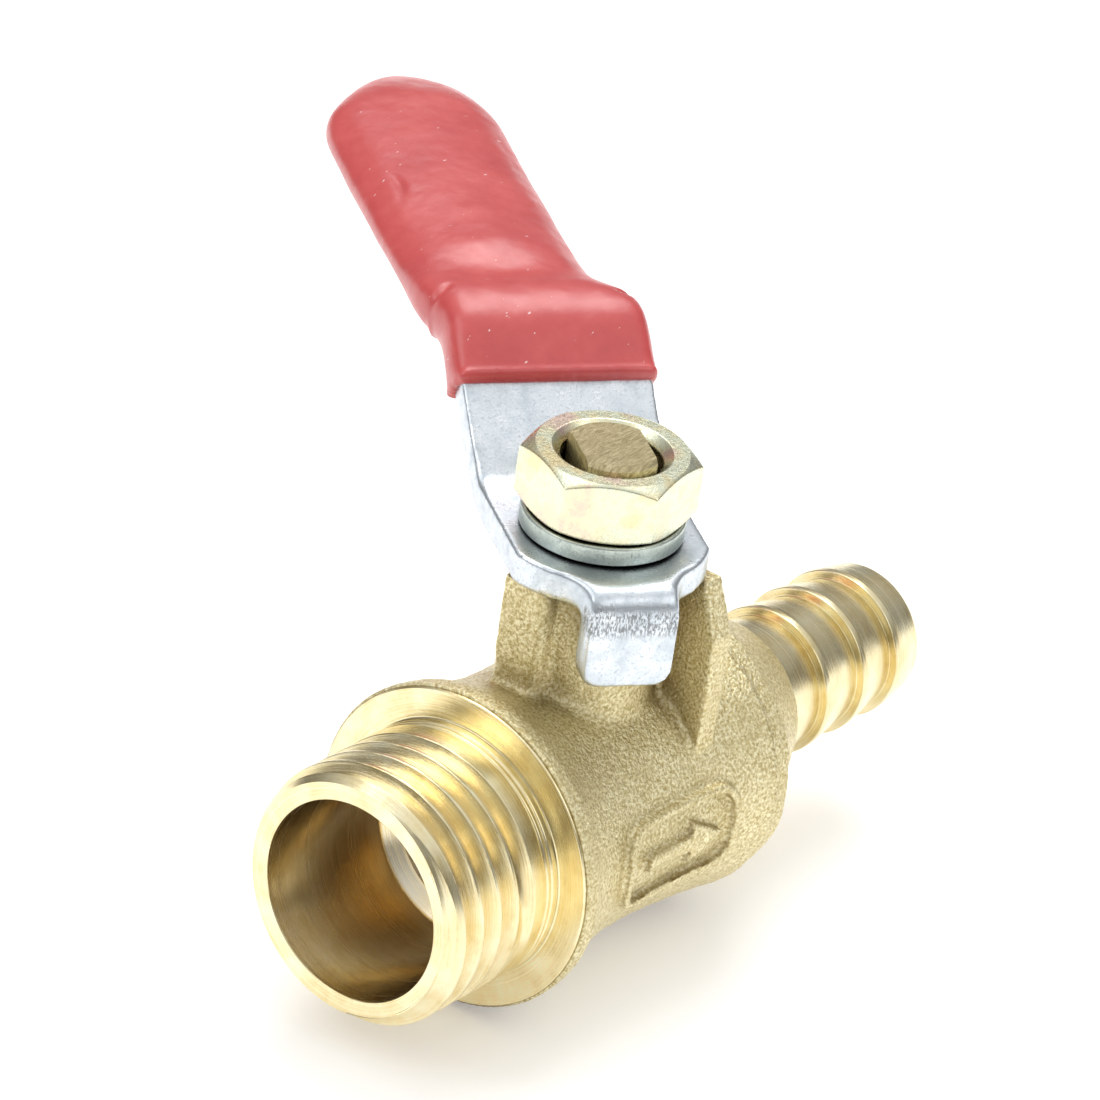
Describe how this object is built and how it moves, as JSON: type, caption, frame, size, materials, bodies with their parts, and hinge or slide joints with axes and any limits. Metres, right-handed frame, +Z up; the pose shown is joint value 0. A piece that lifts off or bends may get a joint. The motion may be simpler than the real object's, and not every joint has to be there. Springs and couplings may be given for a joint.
{
  "type": "ball valve",
  "caption": "Small brass ball valve with a male pipe thread, a hose barb and a quarter-turn lever in a dipped sleeve.",
  "frame": {"origin": "centre of the shoulder face behind the male thread, on the flow axis", "axes": "+X along the flow axis from the thread to the hose barb, +Z up the stem"},
  "size_m": [0.0413, 0.04, 0.0295],
  "materials": {
    "cast_brass": "cast, rough, with turned thread and barb",
    "ptfe": "smooth",
    "ball_brass": "polished",
    "stem_brass": "turned",
    "seal_rubber": "matte",
    "zinc_steel": "zinc plated, satin",
    "red_vinyl": "dipped, smooth",
    "nut_steel": "pale yellow passivated"
  },
  "bodies": {
    "valve": {"valve_body": "cast_brass", "hose_tail": "cast_brass", "inlet_seat": "ptfe", "outlet_seat": "ptfe", "stem_thrust_washer": "ptfe"},
    "turning": {"ball": "ball_brass", "stem": "stem_brass", "stem_o_ring_lower": "seal_rubber", "stem_o_ring_upper": "seal_rubber", "lever": "zinc_steel", "lever_sleeve": "red_vinyl", "split_lock_washer": "zinc_steel", "hex_nut": "nut_steel"}
  },
  "joints": [
    {"name": "lever_turn", "type": "hinge", "parent": "valve", "child": "turning", "pos_m": [0.0085, 0, 0], "axis": [0, 0, 1], "range_deg": [-55, 35]}
  ]
}
